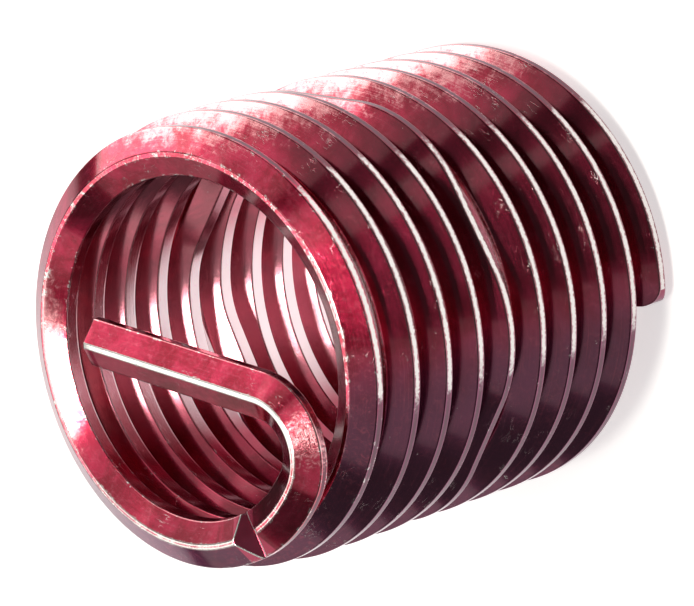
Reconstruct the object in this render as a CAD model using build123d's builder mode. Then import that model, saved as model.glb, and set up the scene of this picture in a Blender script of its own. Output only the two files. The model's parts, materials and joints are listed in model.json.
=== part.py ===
from build123d import *
from math import acos, atan2, ceil, cos, degrees, radians, sin, sqrt, tan
import os

# A screw-locking wire thread insert for an M10 x 1.25 screw and a 15 mm deep tapped hole, in its free state.
# One wire of rhombic section is wound right-handed and bent across the bore at its end, so it is one solid.
# Lengths are in millimetres and angles in degrees. The coil's axis is Z, it stands on its plain end at Z = 0,
# and the drive tang is on top, pointing along -X.

# ---- the winding ----
pitch = 1.25                # rise of one turn, the pitch of the thread it forms
free_outside_d = 12.3       # over the outer crests, before the insert is screwed in
turns_below_lock = 4.513    # full-size turns from the plain end up to the locking coil
turns_above_lock = 2.25     # full-size turns from the locking coil up to the closing turns
turns_of_piece_below = 0.168  # at most; short enough for a level line to stay on a piece's outer crest
turns_of_piece_above = 0.75

# ---- the wire's section: a rhombus with its sharp corners in and out, all four of them flattened ----
coil_gap = 0.23             # left between the corners of one turn and the next
crest_out = 0.67            # from the wire's middle to the crest that fits the tapped hole
crest_in = 0.62             # and to the crest that carries the screw, whose flanks make a 60 degree thread
flat_out = 0.22             # width of the outer crest
flat_in = 0.376             # width of the inner crest
corner_land = 0.125         # radial width of the lands on the two blunt corners
end_round = 0.55            # rounding of the wire's plain end, seen from above, on its outer side

# ---- the locking coil: one turn bent to nearly straight chords that grip the screw ----
lock_chords = 6
lock_depth = 0.31           # how far the middle of a chord lies inside the other turns

# ---- the last turns, which close in towards the tang ----
closing_turns = 2.08        # from the last full-size turn to the notch
closing_parts = 8           # each has its own radius
closing_in = 0.35           # how much smaller the last radius is
closing_power = 1.85        # above 1, more of the closing comes in the last parts

# ---- the tang ----
tang_entry_r = 4.20         # gentle bend where the wire leaves the turn
tang_entry_angle = 32.0
tang_bend_r = 1.46          # tight bend into the straight part
tang_offset = 0.43          # of the straight part's middle from the coil's axis
tang_tip_gap = 1.24         # from the tang's end to the inside of the turn that it points at

# ---- the break-off notch, where the tang leaves the last turn ----
notch_angle = 90.0
notch_depth = 0.46          # down from the wire's top corner

# The section follows from the pitch, the gap, the crests and the flats.
half_width = (pitch - coil_gap) / 2
half_land = corner_land / 2
slope_out = (half_width - flat_out / 2) / (crest_out - half_land)
slope_in = (half_width - flat_in / 2) / (crest_in - half_land)
outer_r = free_outside_d / 2
path_r = outer_r - crest_out
inner_r = path_r - crest_in

# Heights of the wire's middle where one stretch ends and the next begins.
z_plain_end = half_width
z_lock = z_plain_end + pitch * turns_below_lock
z_upper = z_lock + pitch
z_closing = z_upper + pitch * turns_above_lock
z_tang = z_closing + closing_turns * pitch

# The wire is laid from the plain end upwards, with the notch at angle 0. The whole is turned at the end.
turn_closing = -360.0 * closing_turns
turn_upper = turn_closing - 360.0 * turns_above_lock
turn_lock = turn_upper - 360.0
turn_plain_end = turn_lock - 360.0 * turns_below_lock


def out_of(angle):
    """Unit vector away from the axis at an angle about Z."""
    return Vector(cos(radians(angle)), sin(radians(angle)), 0)


def across_wire(centre, outward):
    """Upright plane across the wire: its x points outwards and its y up."""
    out = out_of(outward)
    return Plane(origin=centre, x_dir=out, z_dir=out.cross(Vector(0, 0, 1)))


def wire_section(plane, past_crests=0.0):
    """The wire's section. past_crests carries the flanks on beyond both crests, for a cylinder to cut."""
    out, inn = crest_out + past_crests, crest_in + past_crests
    top_out, top_in = flat_out / 2 - past_crests * slope_out, flat_in / 2 - past_crests * slope_in
    with BuildSketch(plane) as section:
        with BuildLine():
            Polyline((out, -top_out), (out, top_out), (half_land, half_width), (-half_land, half_width),
                     (-inn, top_in), (-inn, -top_in), (-half_land, -half_width), (half_land, -half_width),
                     close=True)
        make_face()
    return section.sketch.faces()[0]


def full_size_turns(turns, turns_of_piece, z_from, turn_from):
    """Lays full-size turns in equal pieces. The crests are true cylinders about the axis, as a rolled wire's are
    once it is wound on a mandrel, so that a screw and a tapped hole can be fitted to them."""
    piece_count = ceil(turns / turns_of_piece)
    rise = pitch * turns / piece_count
    with BuildPart() as piece:
        with BuildLine() as climb:
            Helix(pitch=pitch, height=rise, radius=path_r)
        sweep(wire_section(across_wire((path_r, 0, 0), 0), past_crests=0.05), path=climb.wires()[0], is_frenet=True)
        Cylinder(radius=outer_r, height=4 * pitch, mode=Mode.INTERSECT)
        Cylinder(radius=inner_r, height=4 * pitch, mode=Mode.SUBTRACT)
    return [piece.part.moved(Location((0, 0, z_from + i * rise), (0, 0, turn_from + 360 * turns / piece_count * i)))
            for i in range(piece_count)]


stretches = full_size_turns(turns_below_lock, turns_of_piece_below, z_plain_end, turn_plain_end)
stretches += full_size_turns(turns_above_lock, turns_of_piece_above, z_upper, turn_upper)

# The locking coil is a polygon with large rounded corners. A corner's middle keeps the full radius,
# so the turn starts and ends with half a corner.
lock_step = 360.0 / lock_chords
half_step = radians(lock_step / 2)
chord_at = path_r - lock_depth
corner_r = (chord_at / cos(half_step) - path_r) / (1 / cos(half_step) - 1)
corner_at = (chord_at - corner_r) / cos(half_step)
chord_length = 2 * (chord_at - corner_r) * tan(half_step)
corner_length = 2 * half_step * corner_r
corner_rise = pitch / lock_chords * corner_length / (corner_length + chord_length)
chord_rise = pitch / lock_chords - corner_rise

with BuildPart() as half_corner:
    with BuildLine() as bend:
        Helix(pitch=corner_rise * lock_chords, height=corner_rise / 2, radius=corner_r)
    sweep(wire_section(across_wire((corner_r, 0, 0), 0)), path=bend.wires()[0], is_frenet=True)

z = z_lock
for i in range(lock_chords):
    corner = turn_lock + lock_step * i
    middle = corner + lock_step / 2
    centre = out_of(corner) * corner_at
    stretches.append(half_corner.part.moved(Location((centre.X, centre.Y, z), (0, 0, corner))))
    z += corner_rise / 2
    start = centre + out_of(middle) * corner_r + Vector(0, 0, z)
    run = out_of(middle + 90) * chord_length + Vector(0, 0, chord_rise)
    with BuildPart() as chord:
        extrude(wire_section(across_wire(start, middle)), amount=run.length, dir=run.normalized())
    stretches.append(chord.part)
    z += chord_rise
    centre = out_of(corner + lock_step) * corner_at
    stretches.append(half_corner.part.moved(Location((centre.X, centre.Y, z), (0, 0, middle))))
    z += corner_rise / 2

# The closing turns: each part is wound a little tighter than the one before, and starts in line with it.
closing_step = 360.0 * closing_turns / closing_parts
outward = turn_closing
centre = Vector(0, 0, z_closing)
r_before = path_r
for i in range(closing_parts):
    r_now = path_r - closing_in * ((i + 1) / closing_parts) ** closing_power
    centre += out_of(outward) * (r_before - r_now)
    with BuildPart() as closing:
        with BuildLine() as tighter:
            Helix(pitch=pitch, height=pitch * closing_step / 360, radius=r_now)
        sweep(wire_section(across_wire((r_now, 0, 0), 0)), path=tighter.wires()[0], is_frenet=True)
    stretches.append(closing.part.moved(Location(tuple(centre), (0, 0, outward))))
    centre += Vector(0, 0, pitch * closing_step / 360)
    outward += closing_step
    r_before = r_now
at_notch = centre + out_of(outward) * r_before
notch_outward = outward

# The tang's bends lie level. The tight one turns until the straight part passes the axis at its offset.
entry_centre = at_notch - out_of(outward) * tang_entry_r
with BuildPart() as tang_entry:
    revolve(wire_section(across_wire(at_notch, outward)),
            axis=Axis(tuple(entry_centre), (0, 0, 1)), revolution_arc=tang_entry_angle)
outward += tang_entry_angle
after_entry = entry_centre + out_of(outward) * tang_entry_r

bend_centre = after_entry - out_of(outward) * tang_bend_r
bend_reach = sqrt(bend_centre.X ** 2 + bend_centre.Y ** 2)
inward_end = degrees(atan2(bend_centre.Y, bend_centre.X) - acos((tang_bend_r + tang_offset) / bend_reach))
tang_bend_angle = (inward_end + 180 - outward) % 360
with BuildPart() as tang_bend:
    revolve(wire_section(across_wire(after_entry, outward)),
            axis=Axis(tuple(bend_centre), (0, 0, 1)), revolution_arc=tang_bend_angle)
outward += tang_bend_angle
after_bend = bend_centre + out_of(outward) * tang_bend_r

tang_way = out_of(outward + 90)
bore_r_at_tang = sqrt(at_notch.X ** 2 + at_notch.Y ** 2) - crest_in
tang_straight = sqrt(bore_r_at_tang ** 2 - tang_offset ** 2) - tang_tip_gap - (after_bend.X * tang_way.X
                                                                              + after_bend.Y * tang_way.Y)
with BuildPart() as tang:
    extrude(wire_section(across_wire(after_bend, outward)), amount=tang_straight, dir=tang_way)
stretches += [tang_entry.part, tang_bend.part, tang.part]

# The notch is a wedge across the wire's top, at the start of the first turn.
wedge_over = 0.2
wedge_half = (notch_depth + wedge_over) * tan(radians(notch_angle / 2))
notch_way = out_of(notch_outward)
with BuildPart() as notch:
    with BuildSketch(Plane(origin=at_notch - notch_way * (crest_in + wedge_over),
                           x_dir=out_of(notch_outward + 90), z_dir=notch_way)):
        with BuildLine():
            Polyline((0, half_width - notch_depth), (wedge_half, half_width + wedge_over),
                     (-wedge_half, half_width + wedge_over), close=True)
        make_face()
    extrude(amount=crest_in + crest_out + 2 * wedge_over)

# What the rounding takes off the plain end's outer corner: the corner less a circle that touches both sides.
# Its x points outwards and its y along the wire.
round_over = 0.2
end_out = out_of(turn_plain_end)
with BuildPart() as end_waste:
    with BuildSketch(Plane(origin=end_out * (outer_r - end_round), x_dir=end_out, z_dir=(0, 0, 1))):
        with BuildLine():
            Polyline((0, 0), (0, -round_over), (end_round + round_over, -round_over),
                     (end_round + round_over, end_round), (end_round, end_round))
            CenterArc((0, end_round), end_round, 0, -90)
        make_face()
    extrude(amount=2 * half_width + pitch / 4)

# The stretches meet end to end on upright planes and become one wire.
with BuildPart() as laid:
    add(stretches, clean=False)
cut_wire = laid.part.cut(notch.part, end_waste.part)
with BuildPart() as wire_coil:
    add(cut_wire.moved(Location((0, 0, 0), (0, 0, 90 - outward))), clean=False)

wire_coil.part.label = "wire_coil"
os.makedirs("parts", exist_ok=True)
export_step(wire_coil.part, "parts/wire_coil.step")
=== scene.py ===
import json
from math import acos, atan2, cos, degrees, hypot, pi, radians, sin, sqrt, tan
import bpy
import numpy as np
from mathutils import Matrix, Vector


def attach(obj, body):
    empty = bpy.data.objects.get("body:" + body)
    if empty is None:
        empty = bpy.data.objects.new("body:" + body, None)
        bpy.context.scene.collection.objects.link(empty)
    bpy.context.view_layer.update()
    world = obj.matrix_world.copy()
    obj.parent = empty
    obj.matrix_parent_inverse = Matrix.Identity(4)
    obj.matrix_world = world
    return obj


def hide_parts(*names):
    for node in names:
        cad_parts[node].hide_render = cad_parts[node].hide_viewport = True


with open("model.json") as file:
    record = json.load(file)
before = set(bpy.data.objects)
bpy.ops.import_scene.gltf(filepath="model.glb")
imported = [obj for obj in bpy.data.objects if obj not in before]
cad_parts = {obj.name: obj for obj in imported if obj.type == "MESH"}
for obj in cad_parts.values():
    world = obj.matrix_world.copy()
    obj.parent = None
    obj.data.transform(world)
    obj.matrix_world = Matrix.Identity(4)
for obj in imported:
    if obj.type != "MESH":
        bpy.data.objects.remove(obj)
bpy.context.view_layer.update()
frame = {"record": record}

# ----------------------------------------------------------------------------------------------------
# The wire: drawn stainless spring wire, rolled to a rhombic section with its four corners flattened, then
# wound right-handed on a mandrel and cut at both ends. It is one piece, held in its tapped hole by its
# own spring.

# Sizes are in millimetres until the mesh is made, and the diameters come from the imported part. The
# section is half_width high either way along the coil's axis. Its upper and lower corner are flattened to
# a land, its outer and inner one to a crest as wide as flat_out and flat_in.
mounts = {m["name"]: m["dims"] for m in frame["record"]["mounts"]}
outer_r = mounts["tapped_side"]["r_mm"]
inner_r = mounts["screw_thread"]["r_mm"]
pitch = 1.25
lower_turns = 4.513
upper_turns = 2.25
half_width = 0.51
half_land = 0.0625
flat_out = 0.22
flat_in = 0.376
crest_in = 0.62
path_r = inner_r + crest_in
crest_out = outer_r - path_r
out_slope = (half_width - flat_out / 2) / (crest_out - half_land)
in_slope = (half_width - flat_in / 2) / (crest_in - half_land)
step_angle = 2.0            # at most, between one station of the mesh and the next


def bend(line, radius, angle, rise):
    """Winds the line on about the upright axis of its bend: the outward direction turns by the angle,
    in degrees, while the line keeps the radius from that axis and climbs evenly. Each station of the line
    is x, y, z, outward."""
    x, y, z, outward = line[-1][-1]
    cx, cy = x - radius * cos(radians(outward)), y - radius * sin(radians(outward))
    part = np.linspace(0, 1, max(2, int(np.ceil(angle / step_angle)) + 1))[1:]
    turned = np.radians(outward + angle * part)
    line.append(np.stack([cx + radius * np.cos(turned), cy + radius * np.sin(turned),
                          z + rise * part, outward + angle * part], axis=1))


def straight(line, length, rise, steps):
    """Runs the line straight on, climbing evenly. Its heading is a quarter turn on from outward."""
    x, y, z, outward = line[-1][-1]
    part = np.linspace(0, 1, steps + 1)[1:]
    heading = radians(outward + 90)
    line.append(np.stack([x + length * cos(heading) * part, y + length * sin(heading) * part,
                          z + rise * part, outward + 0 * part], axis=1))


# The locking turn is a hexagon with large round corners, and the last turns close in towards the tang.
lock_chords = 6
lock_depth = 0.31
chord_steps = 6
closing_turns = 2.08
closing_parts = 8
closing_in = 0.35
closing_power = 1.85
part_turn = closing_turns / closing_parts
half_step = pi / lock_chords
chord_at = path_r - lock_depth
corner_r = (chord_at / cos(half_step) - path_r) / (1 / cos(half_step) - 1)
chord_length = 2 * (chord_at - corner_r) * tan(half_step)
corner_length = 2 * half_step * corner_r
corner_rise = pitch / lock_chords * corner_length / (corner_length + chord_length)

turns_below_notch = lower_turns + 1 + upper_turns + closing_turns
start = -360.0 * turns_below_notch
line = [np.array([[path_r * cos(radians(start)), path_r * sin(radians(start)), half_width, start]])]
bend(line, path_r, 360 * lower_turns, pitch * lower_turns)
for i in range(lock_chords):
    bend(line, corner_r, degrees(half_step), corner_rise / 2)
    straight(line, chord_length, pitch / lock_chords - corner_rise, chord_steps)
    bend(line, corner_r, degrees(half_step), corner_rise / 2)
bend(line, path_r, 360 * upper_turns, pitch * upper_turns)
for i in range(closing_parts):
    closed_r = path_r - closing_in * ((i + 1) / closing_parts) ** closing_power
    bend(line, closed_r, 360 * part_turn, pitch * part_turn)
notch_at = line[-1][-1]
notch_station = sum(len(part) for part in line) - 1

# The tang: a gentle bend, a tight one, and a straight run across the bore, all level.
tang_entry_r = 4.20
tang_entry_angle = 32.0
tang_bend_r = 1.46
tang_offset = 0.43
tang_tip_gap = 1.24
tang_steps = 16
bend(line, tang_entry_r, tang_entry_angle, 0)
x, y, z, outward = line[-1][-1]
bx, by = x - tang_bend_r * cos(radians(outward)), y - tang_bend_r * sin(radians(outward))
square_to_tang = degrees(atan2(by, bx) - acos((tang_bend_r + tang_offset) / hypot(bx, by)))
bend(line, tang_bend_r, (square_to_tang + 180 - outward) % 360, 0)
x, y, z, outward = line[-1][-1]
run_to = sqrt((hypot(notch_at[0], notch_at[1]) - crest_in) ** 2 - tang_offset ** 2) - tang_tip_gap
done = x * cos(radians(outward + 90)) + y * sin(radians(outward + 90))
straight(line, run_to - done, 0, tang_steps)

# The whole line is turned so that the tang points along -X.
line = np.concatenate(line)
turn_all = radians(90 - outward)
line[:, :2] = line[:, :2] @ np.array([[cos(turn_all), sin(turn_all)], [-sin(turn_all), cos(turn_all)]])
line[:, 3] = np.radians(line[:, 3]) + turn_all
along = np.concatenate([[0], np.cumsum(np.linalg.norm(np.diff(line[:, :3], axis=0), axis=1))])
notch_along = along[notch_station]

# The plain end's outer corner is rounded, every edge of the two cut ends is broken, and a V notch crosses
# the wire where the tang leaves the last turn. The stations lie closer together at all of these.
end_round = 0.55
edge_break = 0.035
notch_depth = 0.46          # its two sides stand at 90 degrees
notch_close = 0.012         # how near a station lies to the notch's floor and lips, to keep them sharp
cut_steps = edge_break * (1 - np.cos(np.linspace(0, pi / 2, 5)))
round_steps = end_round * np.linspace(0.1, 1, 10) ** 1.5
near_notch = np.concatenate([np.linspace(notch_close, notch_depth - notch_close, 14),
                             [notch_depth + notch_close]])
uncut = ((along > edge_break) & (along < along[-1] - edge_break)
         & (abs(along - notch_along) > notch_depth))
stations = np.unique(np.concatenate([
    along[uncut], cut_steps, along[-1] - cut_steps, round_steps,
    notch_along + near_notch, notch_along - near_notch, [notch_along]]))
x, y, z, out_angle = (np.interp(stations, along, line[:, i]) for i in range(4))


def drawn_in(radius, s):
    """How far a round of that radius draws an edge in at the distance s from the end: radius less the
    height of its arc, so the whole radius at 0 and nothing from the radius on."""
    return radius - np.sqrt(np.maximum(radius ** 2 - np.maximum(radius - s, 0) ** 2, 0))


def corners_along(s):
    """The eight corners of the section, anticlockwise as (outward, up), at each distance s along the
    wire. The notch lowers the two upper corners down the flanks to its floor, the plain end's round draws
    the two outer ones in, and an end's broken edge shrinks all eight."""
    least = 0.01            # no side of the outline gets shorter than about this
    broken = drawn_in(edge_break, np.minimum(s, along[-1] - s))
    rounded = drawn_in(end_round, s)
    top = np.minimum(half_width, half_width - notch_depth + abs(s - notch_along))
    crest = crest_out - rounded
    crest_flat = flat_out / 2 + rounded * out_slope
    top_out = np.minimum(half_land + (half_width - top) / out_slope, crest - least)
    top_in = np.minimum(half_land + (half_width - top) / in_slope, crest_in - least)
    one = np.ones_like(s)
    corners = np.array([(crest, np.minimum(crest_flat, top - least)), (top_out, top), (-top_in, top),
                        (-crest_in * one, np.minimum(flat_in / 2, top - least)),
                        (-crest_in * one, -flat_in / 2 * one), (-half_land * one, -half_width * one),
                        (half_land * one, -half_width * one), (crest, -crest_flat)])
    return corners.transpose(2, 0, 1) * (1 - broken / half_width)[:, None, None]


def outlines(corners, corner_round=0.03, margin=0.03):
    """Each outline goes round its eight corners, which are arcs of three points. One more point lies a
    margin away on each side of an arc, and one in the middle of each side. On a short side an arc takes
    at most 0.3 of it and a margin 0.1. Also gives each point's distance from the nearest corner."""
    back = np.roll(corners, 1, 1) - corners
    on = np.roll(corners, -1, 1) - corners
    back_length = np.linalg.norm(back, axis=2, keepdims=True)
    on_length = np.linalg.norm(on, axis=2, keepdims=True)
    back, on = back / back_length, on / on_length
    half = np.arccos(np.clip((back * on).sum(2, keepdims=True), -1, 1)) / 2
    bisector = back + on
    bisector /= np.linalg.norm(bisector, axis=2, keepdims=True)
    reach = np.minimum(corner_round / np.tan(half), 0.3 * np.minimum(back_length, on_length))
    arc_middle = corners + bisector * reach * np.tan(half) * (1 / np.sin(half) - 1)
    back_margin = reach + np.minimum(margin, 0.1 * back_length)
    on_margin = reach + np.minimum(margin, 0.1 * on_length)
    points = np.stack([corners + back * back_margin, corners + back * reach, arc_middle,
                       corners + on * reach, corners + on * on_margin,
                       corners + on * on_length / 2], axis=2)
    off = np.stack([back_margin, reach / 2, 0 * reach, reach / 2, on_margin, on_length / 2], axis=2)
    return points.reshape(len(corners), -1, 2), off.reshape(len(corners), -1)


corners = corners_along(stations)
outline, from_corner = outlines(corners)
rows, columns = from_corner.shape
plain = outline[rows // 2]
around = np.concatenate([[0], np.cumsum(np.linalg.norm(np.roll(plain, -1, 0) - plain, axis=1))])


def wound_mesh(name):
    """Carries the outlines along the line: point = line + outward * (cos, sin of the outward angle) + up,
    in metres. Rows of four-sided faces run round the wire, and one face closes each end. The UV map is
    the distance along the wire and around it, and the attributes are the distance from a corner and how
    far out from the line, all in millimetres."""
    place = np.stack([x[:, None] + outline[:, :, 0] * np.cos(out_angle)[:, None],
                      y[:, None] + outline[:, :, 0] * np.sin(out_angle)[:, None],
                      z[:, None] + outline[:, :, 1]], axis=2) / 1000
    at = np.arange(rows * columns).reshape(rows, columns)
    beside = np.roll(at, -1, axis=1)
    faces = np.stack([at[:-1], at[1:], beside[1:], beside[:-1]], axis=2).reshape(-1, 4)
    mesh = bpy.data.meshes.new(name)
    mesh.from_pydata(place.reshape(-1, 3), [], faces.tolist() + [at[0, ::-1].tolist(), at[-1].tolist()])
    u = np.stack([stations[:-1], stations[1:], stations[1:], stations[:-1]], axis=1)[:, None, :]
    v = np.stack([around[:-1], around[:-1], around[1:], around[1:]], axis=1)[None, :, :]
    uv = np.stack([u + 0 * v, v + 0 * u], axis=3).reshape(-1, 2)
    ends = np.concatenate([outline[0, ::-1], outline[-1]])
    layer = mesh.uv_layers.new(name="along_around")
    layer.data.foreach_set("uv", np.concatenate([uv, ends]).ravel())
    for word, values in (("from_corner", from_corner), ("outward", outline[:, :, 0])):
        mesh.attributes.new(word, "FLOAT", "POINT").data.foreach_set("value", values.ravel())
    mesh.shade_smooth()
    return mesh


wire = bpy.data.objects.new("wound_wire", wound_mesh("wound_wire"))
bpy.context.scene.collection.objects.link(wire)
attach(wire, "root")
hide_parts("wire_coil")


class Socket:
    """A shader socket to reckon with: an expression on sockets and numbers adds its Math nodes."""

    def __init__(self, tree, out=None):
        self.tree, self.out = tree, out

    def node(self, kind, settings=None, inputs=None, output=0):
        """Adds a node. Its settings, such as an operation, are set first, then the values or links of its
        sockets, by name or number. The socket that comes back is the output asked for."""
        made = self.tree.nodes.new(kind)
        for word, value in (settings or {}).items():
            setattr(made, word, value)
        for place, value in (inputs or {}).items():
            if isinstance(value, Socket):
                self.tree.links.new(value.out, made.inputs[place])
            else:
                made.inputs[place].default_value = value
        return Socket(self.tree, made.outputs[output])

    def math(self, operation, *values):
        return self.node("ShaderNodeMath", {"operation": operation}, dict(enumerate(values)))

    def __add__(self, other):
        return self.math("ADD", self, other)

    def __sub__(self, other):
        return self.math("SUBTRACT", self, other)

    def __rsub__(self, other):
        return self.math("SUBTRACT", other, self)

    def __mul__(self, other):
        return self.math("MULTIPLY", self, other)

    __radd__ = __add__
    __rmul__ = __mul__

    def larger(self, other):
        """The larger of the two."""
        return self.math("MAXIMUM", self, other)

    def apart(self, value):
        """How far the socket is from a value, either way."""
        return self.math("ABSOLUTE", self - value)

    def between(self, low, high):
        """Rises softly from 0 at low to 1 at high, or falls where low is the larger."""
        return self.node("ShaderNodeMapRange", {"interpolation_type": "SMOOTHSTEP"},
                         {"Value": self, "From Min": low, "From Max": high})

    def stretched(self, along, around, turn=0.0):
        """The vector scaled by its two factors and turned in its plane."""
        return self.node("ShaderNodeMapping", None,
                         {"Vector": self, "Scale": (along, around, 1), "Rotation": (0, 0, turn)})

    def noise(self, scale, detail=4.0, roughness=0.55, distortion=0.0):
        """Noise on the vector, about 0.5 on average."""
        return self.node("ShaderNodeTexNoise", None,
                         {"Vector": self, "Scale": scale, "Detail": detail, "Roughness": roughness,
                          "Distortion": distortion})

    def facing(self, way, reach):
        """How far the place lies in a direction from the axis, as a share of the reach."""
        return self.node("ShaderNodeVectorMath", {"operation": "DOT_PRODUCT"},
                         {0: self, 1: tuple(part / reach for part in way)}, 1)

    def mixed(self, low, high):
        """The colour low where the socket is 0 and high where it is 1."""
        return self.node("ShaderNodeMix", {"data_type": "RGBA"}, {0: self, 6: low, 7: high}, 2)

    def into(self, shader, place):
        """Links the socket to one of a shader's own."""
        self.tree.links.new(self.out, shader.inputs[place])


# The finish: dyed crimson under a clear coat. The dye lies in clouds, and is worn to bare steel on the
# crests, the lands and the edges. Rolling left hairlines along the wire, and handling scratched it.
# Painted highlights, reflections and shade are laid into the dye as well.
dark_crimson = (0.30, 0.006, 0.030, 1)
light_crimson = (0.56, 0.024, 0.082, 1)
# painted shade: a dark mauve laid on one side of the coil
mauve_shade_tint = (0.12, 0.050, 0.105, 1)
mottled_pink = (0.74, 0.15, 0.23, 1)
hairline_pink = (0.70, 0.16, 0.24, 1)
fibre_pink = (0.84, 0.28, 0.36, 1)
# painted reflection: pale pink laid in the bore
bore_reflection_pink = (0.84, 0.42, 0.50, 1)
# painted reflection and highlight on the inner crests
inner_crest_reflection_pink = (0.90, 0.62, 0.68, 1)
inner_crest_glint_white = (0.97, 0.84, 0.87, 1)
# painted shade: the outer crests painted dark purple between the coils
crest_shade_purple = (0.075, 0.026, 0.042, 1)
# painted shade on the outer flanks
flank_shade_red = (0.085, 0.006, 0.018, 1)
# painted shade in the bore
bore_shade_red = (0.10, 0.006, 0.022, 1)
# painted light: the notch walls painted a brighter red
notch_light_red = (0.80, 0.10, 0.20, 1)
# painted highlight: pale salmon where the lamps reflect
highlight_salmon = (0.93, 0.44, 0.47, 1)
bare_steel = (0.66, 0.63, 0.62, 1)
relief_height = 0.000004    # in metres, for a relief of 1
steel = bpy.data.materials.new("dyed steel")
steel.use_nodes = True
bsdf = steel.node_tree.nodes["Principled BSDF"]
bsdf.inputs["Metallic"].default_value = 1
bsdf.inputs["Specular Tint"].default_value = (0.48, 0.38, 0.44, 1)
bsdf.inputs["Coat Roughness"].default_value = 0.08
surface = Socket(steel.node_tree)
in_mm = surface.node("ShaderNodeMapping", None, {"Vector": surface.node("ShaderNodeTexCoord", output=3),
                                                 "Scale": (1000, 1000, 1000)})
rolled = surface.node("ShaderNodeUVMap", {"uv_map": "along_around"})
from_corner = surface.node("ShaderNodeAttribute", {"attribute_name": "from_corner"}, output=2)
out_by = surface.node("ShaderNodeAttribute", {"attribute_name": "outward"}, output=2)
past_notch = surface.node("ShaderNodeSeparateXYZ", None, {0: rolled}) - notch_along

# The patterns that break everything up, from broad to fine.
clouds = in_mm.noise(0.9, 5.0, 0.6, 0.6)
fibres = in_mm.noise(3.4, 12.0, 0.80, 0.4)
mottles = in_mm.noise(4.5, 8.0, 0.72, 1.6)
grain = in_mm.noise(14.0, 4.0, 0.6)
hairs = rolled.stretched(0.5, 22.0).noise(1.0, 5.0, 0.65)

# Scratches are where a long, drawn-out noise crosses its middle value, and nicks are the peaks of a fine
# one. Both are kept to patches.
scratches = (rolled.stretched(1.6, 5.5, 0.35).noise(1.0, 3.0, 0.5, 0.4).apart(0.5).between(0.005, 0.001)
             * in_mm.noise(1.3, 2.0).between(0.55, 0.64))
nicks = in_mm.noise(9.0, 2.0, 0.5, 1.0).between(0.73, 0.77) * in_mm.noise(1.1, 2.0).between(0.52, 0.62)

# Places along the wire, in millimetres past the notch. The last turn comes before it and the tang after
# it. The tang's lands stand up as worn ridges from a little way along.
on_last_turn = past_notch.between(-42, -30)
on_tang = past_notch.between(-0.6, 0.6)
before_notch = past_notch.between(-9.0, -2.0) * (1 - on_tang)
in_notch = past_notch.apart(0).between(notch_depth + 0.02, notch_depth - 0.02)
ridge = past_notch.between(2.0, 5.0)

# Places on the section, in millimetres out from the line: the two crests, the lands, the flanks.
edge = from_corner.between(0.046, 0.034)
crest = (out_by.between(crest_out - 0.012, crest_out - 0.004)
         * (from_corner + (mottles - 0.5) * 0.16).between(0.025, 0.060))
inner_crest = out_by.between(0.012 - crest_in, 0.004 - crest_in)
land = out_by.apart(0).between(half_land + 0.030, half_land + 0.010) * (1 - in_notch)
outer_flank = out_by.between(0.05, 0.15)
in_bore = out_by.between(0.08, -0.08) * (1 - on_last_turn)

# The notch's lips are where the distance from its middle, and how far the flank has come down from the
# land, add up to its depth.
come_down = (out_by * out_slope).larger(out_by * -in_slope) - half_land * out_slope
lips = (past_notch.apart(0) + come_down).apart(notch_depth).between(0.035, 0.012)


def side(x, y):
    """How far a place lies to one side of the coil: about 1 where the line is straight that way from the
    axis, and 0 a quarter turn round from there."""
    return in_mm.facing((x, y, 0), path_r)


# The sides differ. On one the crests are worn to bare steel, and elsewhere painted shade darkens them;
# about there painted shade darkens the outer flanks too. A quarter turn round from it painted shade tints
# the outer parts mauve, and the bore is painted dark there. Elsewhere the bore is painted pale as a
# painted reflection, less on one side, and a painted highlight whitens its crests on another.
# On this side the crests wear to bare steel; elsewhere painted shade darkens them purple.
worn_unshaded_side = side(0.88, 0.47).between(0.86, 1.06)
# Painted shade: mauve on the outer parts of one side of the coil, broken up by clouds.
mauve_shade = ((side(0.42, -0.90).between(0.0, 0.65) * 0.9 + (clouds - 0.5) * 0.9).between(0.0, 1.0)
         * out_by.between(-0.10, 0.12) * (1 - on_tang))
# Painted light in the bore: where this is 1 the bore is painted pale, where it is 0 it is painted dark.
bore_lit_share = 1 - 0.97 * side(0.35, -0.94).between(0.06, 0.52)
# Less painted reflection on this side of the bore.
bore_dim_side = side(-0.42, 0.90).between(0.15, 0.52)
# Painted highlight: the inner crests painted near white on this side.
crest_glint_side = side(-0.94, -0.34).between(0.68, 0.86)
# Painted shade: the outer flanks darkened on this side.
flank_shade = side(0.73, 0.68).between(0.84, 1.03) * out_by.between(-0.05, 0.10) * (1 - on_last_turn)

# Painted highlights: where the lamps' reflections fall, the dye is painted pale salmon: a band along one
# side of the coil, the outer flanks of the tang's bend, and a patch on the inner flanks of the last turn.
highlight_band = (side(-0.17, 0.98) + (hairs - 0.5) * 0.14 + (fibres - 0.5) * 0.42
        + (clouds - 0.5) * 0.20).between(0.98, 1.11) * outer_flank * (1 - crest)
bend_highlight = (past_notch.apart(3.6) * -0.5 + (mottles - 0.5) * 1.6).between(-0.35, 0.15) * outer_flank
last_turn_highlight = ((side(-0.95, -0.31) + (fibres - 0.5) * 0.40).between(0.79, 0.92)
         * on_last_turn * out_by.between(0.05, -0.05))
painted_highlight = highlight_band.larger(bend_highlight).larger(last_turn_highlight)

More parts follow.
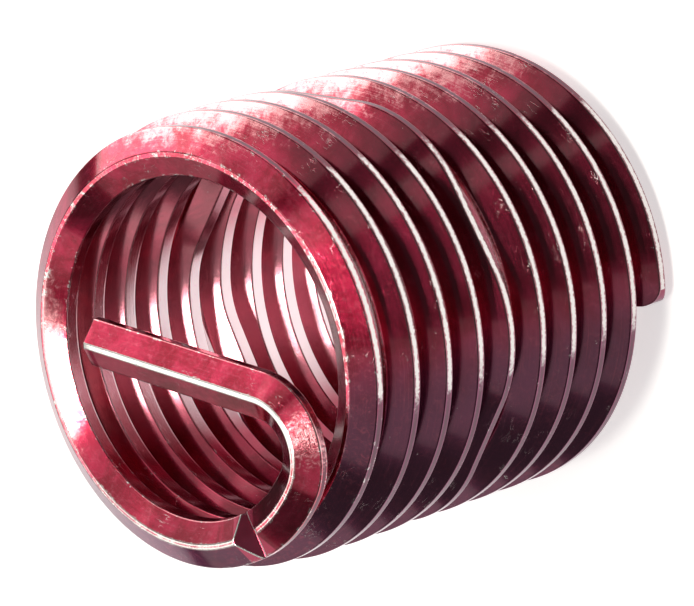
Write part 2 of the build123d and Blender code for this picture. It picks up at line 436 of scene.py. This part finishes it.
# The dye: clouds of two crimsons, and over them one layer after the other, each as how much of what tint.
# Several of the layers are painted highlights, reflections and shade.
dye = clouds.between(0.36, 0.68).mixed(dark_crimson, light_crimson)
for amount, tint in (
        (mauve_shade * 0.85, mauve_shade_tint),
        (mottles.between(0.50, 0.66) * (0.12 + 0.12 * on_last_turn), mottled_pink),
        (hairs.between(0.52, 0.72) * 0.22, hairline_pink),
        # painted reflection in the bore
        (in_bore * (0.74 - 0.48 * bore_dim_side) * bore_lit_share, bore_reflection_pink),
        (inner_crest * (0.86 - 0.72 * bore_dim_side) * bore_lit_share, inner_crest_reflection_pink),
        (inner_crest * crest_glint_side * 0.8, inner_crest_glint_white),
        (flank_shade * 0.75, flank_shade_red),
        # painted shade in the bore, where it is not painted pale
        (in_bore * (1 - bore_lit_share) * 0.45, bore_shade_red),
        (fibres.between(0.53, 0.67) * (0.10 + 0.08 * on_last_turn), fibre_pink),
        # painted shade on the outer crests
        (crest * (0.92 - 0.92 * worn_unshaded_side), crest_shade_purple),
        # painted highlight
        (painted_highlight * 0.85, highlight_salmon),
        # painted light on the notch walls
        (in_notch * 0.7, notch_light_red)):
    dye = amount.mixed(dye, tint)

# The wear: how far each place is worn through the dye and the coat, down to the steel.
worn = (worn_unshaded_side * 0.9 + (clouds - 0.5) * 0.9 + (mottles - 0.5) * 0.8).between(0.15, 0.75)
chips = from_corner.between(0.10, 0.03) * fibres.between(0.53, 0.61) * on_last_turn
worn_edge = edge * (0.05 + 0.25 * worn + 0.25 * on_tang + 0.30 * before_notch)
worn_land = land * (0.15 + 0.30 * worn + 0.70 * ridge + 0.25 * before_notch + (mottles - 0.5) * 1.4)
bare = (worn_edge + chips * 0.7 + crest * worn * 0.85 + worn_land + lips * 0.9
        + scratches * 0.7 + nicks * 0.8).between(0.10, 0.90)

relief = hairs * 0.5 + grain * 0.35 - scratches * 0.8 - nicks * 0.6
bump = surface.node("ShaderNodeBump", None,
                    {"Strength": 0.35, "Distance": relief_height, "Height": relief})
bare.mixed(dye, bare_steel).into(bsdf, "Base Color")
(0.08 + 0.12 * hairs + 0.08 * mottles + 0.08 * bare).into(bsdf, "Roughness")
(0.78 - 0.63 * bare).into(bsdf, "Coat Weight")
bump.into(bsdf, "Normal")
wire.data.materials.append(steel)

# ----------------------------------------------------------------------------------------------------
# The floor, which is the backdrop too: plain white, lit like the wire, so that it keeps the shadow. The
# eye and the glossy surfaces see it lifted to white.
bpy.ops.mesh.primitive_plane_add(size=2.0, location=(0, 0, 0))
floor = bpy.context.object
floor.name = "floor"
floor_white = bpy.data.materials.new("white floor")
floor_white.use_nodes = True
floor_tree = Socket(floor_white.node_tree)
floor_bsdf = floor_white.node_tree.nodes["Principled BSDF"]
floor_bsdf.inputs["Base Color"].default_value = (0.80, 0.80, 0.80, 1)
floor_bsdf.inputs["Roughness"].default_value = 0.9
floor_bsdf.inputs["Specular IOR Level"].default_value = 0
mirrored = floor_tree.node("ShaderNodeLightPath", output=3)
by_eye = floor_tree.node("ShaderNodeLightPath", output=0)
through_glass = floor_tree.node("ShaderNodeLightPath", output=6)
seen = mirrored.larger(by_eye).larger(through_glass)
lift = floor_tree.node("ShaderNodeEmission", None,
                       {"Color": (1, 1, 1, 1), "Strength": 0.60 * seen + 0.12 * mirrored})
lit = Socket(floor_white.node_tree, floor_bsdf.outputs[0])
both = floor_tree.node("ShaderNodeAddShader", None, {0: lit, 1: lift})
both.into(floor_white.node_tree.nodes["Material Output"], "Surface")
floor.data.materials.append(floor_white)

# ----------------------------------------------------------------------------------------------------
# The lamps: soft boxes round the wire with the room's dim light between them, so that the steel has
# something dark to mirror too.

# Each row is a box: its name, which way it lies, which way its width runs, its width and height in metres
# and its brightness. Its power is the brightness times pi times its area.
middle = Vector((0, 0, 0.0066))
lamp_distance = 0.35
lamp_white = (1.0, 0.97, 0.90)
for name, toward, wide_along, width, height, brightness in (
        ("overhead", (0.15, 0.11, 0.98), (-0.42, 0.91, 0), 0.15, 0.07, 18.0),
        ("strip", (0.015, -0.06, 1.00), (0, 1, 0), 0.48, 0.145, 0.9),
        ("side", (-0.85, 0.47, 0.28), (0.56, 0.57, 0.60), 0.28, 0.105, 3.2),
        ("shoulder", (-0.78, 0.37, 0.54), (0.56, 0.57, 0.60), 0.315, 0.07, 0.75),
        ("upper", (-0.35, 0.63, 0.69), (1, 0, 0), 0.20, 0.10, 0.75),
        ("back", (-0.38, 0.44, 0.82), (0.90, 0, 0.42), 0.16, 0.10, 0.7),
        ("front", (0.34, -0.40, 0.82), (0.35, 0.85, 0.33), 0.23, 0.09, 0.42),
        ("fill", (-0.62, -0.30, 0.72), (0.30, -0.62, 0), 0.13, 0.13, 2.6),
        ("low", (-0.52, -0.76, 0.36), (0.87, -0.49, 0), 0.30, 0.22, 0.60)):
    box = bpy.data.lights.new(name, "AREA")
    box.shape = "RECTANGLE"
    box.size, box.size_y = width, height
    box.energy = brightness * pi * width * height
    box.color = lamp_white
    lamp = bpy.data.objects.new(name, box)
    toward = Vector(toward).normalized()
    upward = toward.cross(Vector(wide_along)).normalized()
    turned = Matrix((upward.cross(toward), upward, toward)).transposed().to_4x4()
    lamp.matrix_world = Matrix.Translation(middle + toward * lamp_distance) @ turned
    bpy.context.scene.collection.objects.link(lamp)

room = bpy.context.scene.world or bpy.data.worlds.new("room")
bpy.context.scene.world = room
room.use_nodes = True
room.node_tree.nodes["Background"].inputs["Color"].default_value = (1, 1, 1, 1)
room.node_tree.nodes["Background"].inputs["Strength"].default_value = 0.10

# ----------------------------------------------------------------------------------------------------
# The camera looks into the tang end, half along the coil and half across it. It is rolled, so that the
# coil lies on its side in the picture.
camera_data = bpy.data.cameras.new("camera")
camera_data.sensor_width = 36
camera_data.lens = 258.1
camera_data.clip_start = 0.01
camera_data.clip_end = 10
camera = bpy.data.objects.new("camera", camera_data)
bpy.context.scene.collection.objects.link(camera)
aim = Vector((0.00007, 0.00005, 0.00656))
azimuth = radians(25.23)
elevation = radians(45.11)
roll = radians(-106.93)
distance = 0.13435
back = Vector((cos(elevation) * cos(azimuth), cos(elevation) * sin(azimuth), sin(elevation)))
level = Vector((-sin(azimuth), cos(azimuth), 0))
upright = back.cross(level)
right = level * cos(roll) + upright * sin(roll)
up = back.cross(right)
turned = Matrix((right, up, back)).transposed().to_4x4()
camera.matrix_world = Matrix.Translation(aim + back * distance) @ turned
bpy.context.scene.camera = camera

bpy.context.scene.view_settings.view_transform = "Standard"
